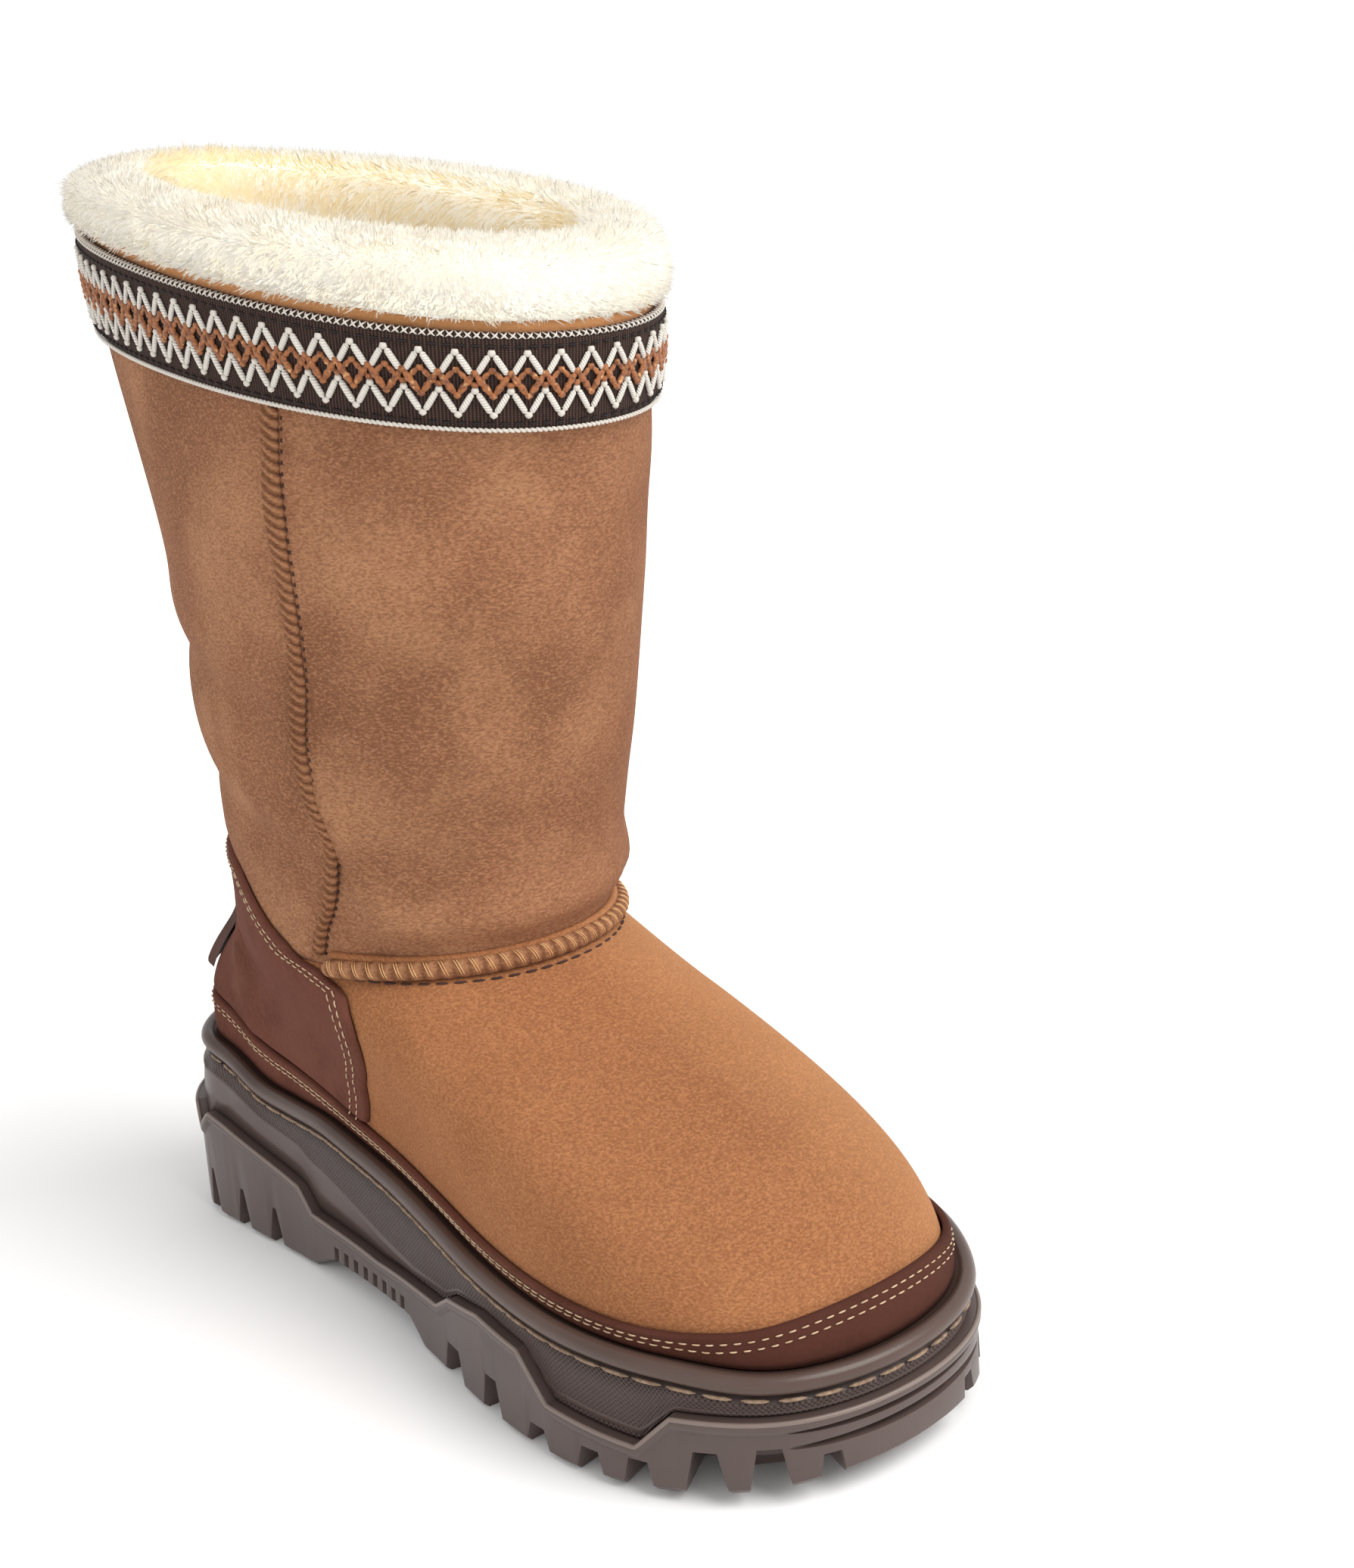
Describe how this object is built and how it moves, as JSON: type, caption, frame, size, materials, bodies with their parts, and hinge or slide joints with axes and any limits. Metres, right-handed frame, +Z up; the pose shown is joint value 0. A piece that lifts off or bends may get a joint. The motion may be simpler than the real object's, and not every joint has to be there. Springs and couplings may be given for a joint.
{
  "type": "sheepskin boot",
  "caption": "Mid-calf sheepskin boot: suede shaft and vamp, nubuck heel counter and foxing, fleece collar with woven trim, lugged platform sole. Right foot.",
  "frame": {"origin": "middle of the box that the boot fills, on the ground under the sole", "axes": "+Z up along the leg, toe towards -Y, outer side of the foot towards -X"},
  "size_m": [0.129, 0.2926, 0.3185],
  "materials": {
    "outsole": "matte moulded rubber, taupe brown",
    "midsole": "fine diamond knurl, matte",
    "welt": "satin rubber bead with cord stitching under it",
    "insole": "sheepskin pile footbed",
    "vamp": "napped suede, tan",
    "shaft": "napped suede, tan with soft blotches",
    "foxing": "dark brown nubuck, rolled rim, double stitch row",
    "heel_counter": "dark brown nubuck, double stitch row",
    "heel_tab": "dark brown smooth leather flap, left bare",
    "vamp_seam": "rolled suede seam with whipstitches",
    "side_seam_outer": "puckered suede cord seam",
    "side_seam_inner": "puckered suede cord seam",
    "trim_band": "dark woven tape with pale and copper zigzag cords",
    "fleece_collar": "dense ivory sheepskin pile"
  },
  "bodies": {
    "root": {"outsole": "outsole", "midsole": "midsole", "welt": "welt", "insole": "insole", "vamp": "vamp", "shaft": "shaft", "foxing": "foxing", "heel_counter": "heel_counter", "heel_tab": "heel_tab", "vamp_seam": "vamp_seam", "side_seam_outer": "side_seam_outer", "side_seam_inner": "side_seam_inner", "trim_band": "trim_band", "fleece_collar": "fleece_collar"}
  },
  "joints": []
}
